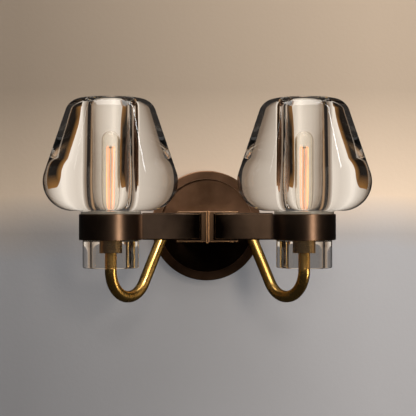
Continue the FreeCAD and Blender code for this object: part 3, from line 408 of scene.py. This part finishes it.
def plasterFinish(name, color):
    material, shader = newMaterial(name)
    grain = noiseField(material, room["plasterGrain"])
    feed(shader, {"Base Color": color(material), "Roughness": room["plasterRoughness"],
                  "Specular IOR Level": room["plasterGloss"],
                  "Normal": surfaceBump(material, grain, room["plasterDepth"])})
    return material, shader


def wallColor(material):
    # cool below and warm above, with painted shade making it darker to the left, and a painted pool of
    # light in a band where the lamps would throw one
    parts = placeParts(material)
    cloud = noiseField(material, room["plasterScale"])
    drift = between(material, cloud, -room["turnDrift"], room["turnDrift"])
    height = mathStep(material, "ADD", parts["Z"], drift)
    warmth = between(material, height, 0.0, 1.0, room["turnFrom"], room["turnTo"])
    toned = mixedColor(material, warmth, rgb(room["wallLow"]), rgb(room["wallHigh"]))
    across = between(material, parts["X"], room["leftDim"], 1.0, room["dimFrom"], room["dimTo"])
    rise = between(material, parts["Z"], 0.0, 1.0, room["bandFrom"], room["bandFull"])
    fall = between(material, parts["Z"], 1.0, 0.0, room["bandFull"], room["bandTo"])
    band = mathStep(material, "MULTIPLY", rise, fall)
    lift = mathStep(material, "MULTIPLY_ADD", band, room["bandLift"], 1.0)
    level = mathStep(material, "MULTIPLY", across, lift)
    shaded = addNode(material, "VectorMath", operation="SCALE")
    return feed(shaded, {0: toned, "Scale": level}).outputs["Vector"]


def floorColor(material):
    cloud = noiseField(material, room["plasterScale"])
    low = tuple(value * room["floorDim"] for value in room["floorColor"])
    return mixedColor(material, between(material, cloud, 0, 1), rgb(low), rgb(room["floorColor"]))


def makeWall():
    # the camera sees the wall a little lighter than the lamps leave it, and its back is clear
    bpy.ops.object.select_all(action="DESELECT")
    bpy.ops.mesh.primitive_circle_add(vertices=room["openingSides"], radius=room["boxOpening"],
                                      rotation=(math.pi / 2, 0, 0))
    wall = bpy.context.object
    wall.name = "wall"
    bpy.ops.object.transform_apply(location=True, rotation=True, scale=True)
    bpy.ops.object.mode_set(mode="EDIT")
    bpy.ops.mesh.select_all(action="SELECT")
    grow = room["wallReach"] / room["boxOpening"]
    bpy.ops.mesh.extrude_region_move(TRANSFORM_OT_translate={"value": (0, 0, 0)})
    bpy.ops.transform.resize(value=(grow, 1, grow))
    bpy.ops.object.mode_set(mode="OBJECT")
    if wall.data.polygons[0].normal.y > 0:
        wall.data.flip_normals()
    material, shader = plasterFinish("wallPlaster", wallColor)
    seen = addNode(material, "LightPath").outputs["Is Camera Ray"]
    feed(shader, {"Emission Color": shader.inputs["Base Color"].links[0].from_socket,
                  "Emission Strength": mathStep(material, "MULTIPLY", seen, room["wallGlow"])})
    mix = addNode(material, "MixShader")
    feed(mix, {0: addNode(material, "NewGeometry").outputs["Backfacing"], 1: shader.outputs[0],
               2: addNode(material, "BsdfTransparent").outputs[0]})
    feed(material.node_tree.nodes["Material Output"], {"Surface": mix.outputs[0]})
    wall.data.materials.append(material)
    wall.visible_transmission = wall.visible_glossy = False   # glass and metal meet the cards instead


def makeFloor():
    bpy.ops.object.select_all(action="DESELECT")
    bpy.ops.mesh.primitive_plane_add(size=room["floorReach"] * 2, location=(0, 0, -room["floorDepth"]))
    floor = bpy.context.object
    floor.name = "floor"
    floor.data.materials.append(plasterFinish("floorPlaster", floorColor)[0])
    floor.visible_glossy = False   # the bronze has a dark room below it


makeWall()
makeFloor()
print("room ready")


# cards that only rays through the glass meet, as a studio sets them round clear glass: a pale sheet
# behind the shades with a painted glow behind each shade, a dark block behind the canopy that paints the
# canopy's image in the glass, a grey card behind each neck, dark flags with a warm glow at the sides, and a
# dark cloth on the floor in front

neckCard = {"size": (0.13, 0.046), "face": (0, -1, 0), "flat": (0.20, 0.19, 0.188)}
sideFlag = {"size": (0.8, 1.2), "glowAt": -0.12, "glowReach": 0.14, "glow": (0.46, 0.28, 0.15),
            "dark": (0.022, 0.018, 0.016)}
cards = {
    "backSheet": {"place": (0, 0.42, 0.05), "size": (2.4, 1.8), "face": (0, -1, 0), "middle": 0.10,
                  "near": (1.0, 0.90, 0.79), "far": (0.27, 0.20, 0.145),
                  "start": 0.02, "end": 0.55, "fade": 0.6},
    "middleCard": {"place": (0, 0.09, 0.014), "size": (0.114, 0.092), "face": (0, -1, 0), "corner": 0.022,
                   "cornerSteps": 8, "rim": (0.33, 0.155, 0.045), "inside": (0.012, 0.008, 0.005),
                   "start": 0.62, "end": 1.0},
    "leftNeckCard": {**neckCard, "place": (-0.130, -0.015, -0.034)},
    "rightNeckCard": {**neckCard, "place": (0.130, -0.015, -0.034)},
    "leftFlag": {**sideFlag, "place": (-0.75, -0.1, 0.05), "face": (1, 0, 0)},
    "rightFlag": {**sideFlag, "place": (0.75, -0.1, 0.05), "face": (-1, 0, 0)},
    "floorCloth": {"place": (0, -1.3, -0.6), "size": (3.0, 2.4), "face": (0, 0, 1),
                   "flat": (0.03, 0.026, 0.023)}}


def distanceTo(material, value, middle):
    return mathStep(material, "ABSOLUTE", mathStep(material, "SUBTRACT", value, middle))


def flagColor(material, look):
    # dark, with a warm glow at one depth
    away = distanceTo(material, placeParts(material)["Y"], look["glowAt"])
    share = between(material, away, 0.0, 1.0, 0.0, look["glowReach"])
    return mixedColor(material, share, rgb(look["glow"]), rgb(look["dark"]))


def sheetColor(material, look):
    # palest behind the middle of each shade, a painted glow where the lamps would light the sheet
    away = distanceTo(material, mathStep(material, "ABSOLUTE", placeParts(material)["X"]), look["middle"])
    share = between(material, away, 0.0, 1.0, look["start"], look["end"])
    share = mathStep(material, "POWER", share, look["fade"])
    return mixedColor(material, share, rgb(look["near"]), rgb(look["far"]))


def blockColor(material, look):
    # a painted refraction of the canopy: dark inside, with a warm rim at both sides and at the top
    parts = placeParts(material)
    width, height = look["size"]
    across = mathStep(material, "DIVIDE", mathStep(material, "ABSOLUTE", parts["X"]), width / 2)
    up = mathStep(material, "DIVIDE", parts["Z"], look["place"][2] + height / 2)
    farther = mathStep(material, "MAXIMUM", across, up)
    share = between(material, farther, 0.0, 1.0, look["start"], look["end"])
    return mixedColor(material, share, rgb(look["inside"]), rgb(look["rim"]))


def cardColor(material, look):
    if "glow" in look:
        return flagColor(material, look)
    if "near" in look:
        return sheetColor(material, look)
    if "inside" in look:
        return blockColor(material, look)
    return rgb(look["flat"])


def cardGlow(name, look):
    material = bpy.data.materials.new(name)
    material.use_nodes = True
    material.node_tree.nodes.remove(material.node_tree.nodes["Principled BSDF"])
    glow = feed(addNode(material, "Emission"), {"Color": cardColor(material, look)})
    feed(material.node_tree.nodes["Material Output"], {"Surface": glow.outputs[0]})
    return material


def makeCard(name, look):
    turn = Vector(look["face"]).to_track_quat("Z", "Y").to_euler()
    bpy.ops.object.select_all(action="DESELECT")
    bpy.ops.mesh.primitive_plane_add(size=1, location=look["place"], rotation=turn)
    card = bpy.context.object
    card.scale = (*look["size"], 1)
    card.name = name
    bpy.ops.object.transform_apply(location=True, rotation=True, scale=True)
    if "corner" in look:
        bpy.ops.object.mode_set(mode="EDIT")
        bpy.ops.mesh.select_all(action="SELECT")
        bpy.ops.mesh.bevel(offset=look["corner"], segments=look["cornerSteps"], affect="VERTICES")
        bpy.ops.object.mode_set(mode="OBJECT")
    card.data.materials.append(cardGlow(name, look))
    card.visible_camera = card.visible_diffuse = card.visible_glossy = card.visible_shadow = False


for name, look in cards.items():
    makeCard(name, look)
print("cards for the glass ready")


# lights: soft boxes in front, beside and overhead in a dim room; most reach only the pieces that they
# name, or all but some, as flags and snoots would have it

lights = {
    "frontBox": {"place": (0.16, -1.25, 0.60), "size": (0.55, 0.3), "power": 3.8,
                 "color": (1.0, 0.90, 0.78), "skips": "glassAndCanopy"},
    "rightBox": {"place": (0.62, -1.2, 0.10), "size": (0.26, 0.6), "power": 6.8,
                 "color": (1.0, 0.85, 0.68), "skips": "glassCanopyAndBrass"},
    "canopyBox": {"place": (-0.62, -0.95, 0.50), "size": (0.4, 0.3), "power": 10.5,
                  "color": (1.0, 0.92, 0.85), "only": "canopy"},
    "armBox": {"place": (-0.34, -1.25, 0.22), "size": (0.2, 0.3), "power": 0.7,
               "color": (0.9, 0.95, 1.0), "only": "arms"},
    "finBox": {"place": (0.06, -1.2, 0.10), "size": (0.2, 0.2), "power": 1.0,
               "color": (1.0, 0.84, 0.62), "only": "tee"},
    "rightStrip": {"place": (0.83, -0.44, 1.0), "size": (0.04, 0.9), "power": 1.6,
                   "color": (0.93, 0.96, 1.0), "only": "glass"},
    "leftStrip": {"place": (-0.83, -0.44, 1.0), "size": (0.03, 0.9), "power": 0.25,
                  "color": (1.0, 0.97, 0.93), "only": "glass"},
    "brassBox": {"place": (0.28, -0.81, 0.83), "size": (0.22, 0.4), "power": 9.0,
                 "color": (1.0, 0.97, 0.92), "only": "brass", "shadow": False},
    "brassSide": {"place": (1.2, -0.42, 0.0), "size": (0.25, 0.9), "power": 6.0,
                  "color": (1.0, 0.88, 0.68), "only": "brass", "shadow": False},
    "topBox": {"place": (0, -0.38, 1.1), "size": (1.2, 0.8), "power": 14.0,
               "color": (1.0, 0.96, 0.91)}}
roomLight = {"color": (1.0, 0.97, 0.94), "dim": 0.022, "seen": 0.5, "throughGlass": 0.06}
boxAim = (0, -0.08, 0.03)   # the point that every soft box faces

clearGlass = [bpy.data.objects[side + "_glass_shade"] for side in sides]
clearGlass += [nodes[side + "_lamp_envelope"] for side in sides]
for piece in clearGlass:
    piece.visible_shadow = False   # light passes through the clear glass
canopyPieces = [nodes["canopy"]]
brassPieces = [nodes[side + part] for side in sides for part in ("_tube", "_cup")]
reach = {"glass": clearGlass, "canopy": canopyPieces, "brass": brassPieces, "tee": [nodes["tee_block"]],
         "arms": [nodes[side + "_arm"] for side in sides], "glassAndCanopy": clearGlass + canopyPieces,
         "glassCanopyAndBrass": clearGlass + canopyPieces + brassPieces}


def limitReach(lamp, look):
    group = bpy.data.collections.new(lamp.name + "Reach")
    for piece in reach[look.get("skips") or look["only"]]:
        group.objects.link(piece)
    if "skips" in look:
        for member in group.collection_objects:
            member.light_linking.link_state = "EXCLUDE"
    lamp.light_linking.receiver_collection = group


def addSoftBox(name, look):
    data = bpy.data.lights.new(name, "AREA")
    data.shape = "RECTANGLE"
    data.size, data.size_y = look["size"]
    data.energy = look["power"]
    data.color = look["color"]
    data.use_shadow = look.get("shadow", True)
    lamp = bpy.data.objects.new(name, data)
    bpy.context.scene.collection.objects.link(lamp)
    lamp.location = look["place"]
    aim = Vector(boxAim) - lamp.location
    lamp.rotation_mode = "QUATERNION"
    lamp.rotation_quaternion = aim.to_track_quat("-Z", "Y")
    lamp.visible_transmission = False
    if "skips" in look or "only" in look:
        limitReach(lamp, look)


def makeWorld():
    world = bpy.data.worlds.new("studio")
    bpy.context.scene.world = world
    world.use_nodes = True
    path = addNode(world, "LightPath").outputs
    seen = mathStep(world, "MULTIPLY_ADD", path["Is Camera Ray"], roomLight["seen"], roomLight["dim"])
    level = mathStep(world, "MULTIPLY_ADD", path["Is Transmission Ray"], roomLight["throughGlass"], seen)
    feed(world.node_tree.nodes["Background"], {"Color": rgb(roomLight["color"]), "Strength": level})


for name, look in lights.items():
    addSoftBox(name, look)
makeWorld()
print("lights ready")


# camera, from the photograph's perspective

shot = {"place": (-0.0166, -1.270, 0.020), "turnRight": math.radians(0.838), "tiltUp": math.radians(0.016),
        "focalPixels": 1082.5, "imagePixels": 416, "sensor": 36.0, "clipStart": 0.05}
cameraData = bpy.data.cameras.new("camera")
cameraData.sensor_width = shot["sensor"]
cameraData.lens = shot["focalPixels"] / shot["imagePixels"] * shot["sensor"]
cameraData.clip_start = shot["clipStart"]
camera = bpy.data.objects.new("camera", cameraData)
bpy.context.scene.collection.objects.link(camera)
camera.location = shot["place"]
camera.rotation_euler = (math.pi / 2 + shot["tiltUp"], 0, -shot["turnRight"])
bpy.context.scene.camera = camera
bpy.context.scene.view_settings.view_transform = "Standard"
print("camera ready")
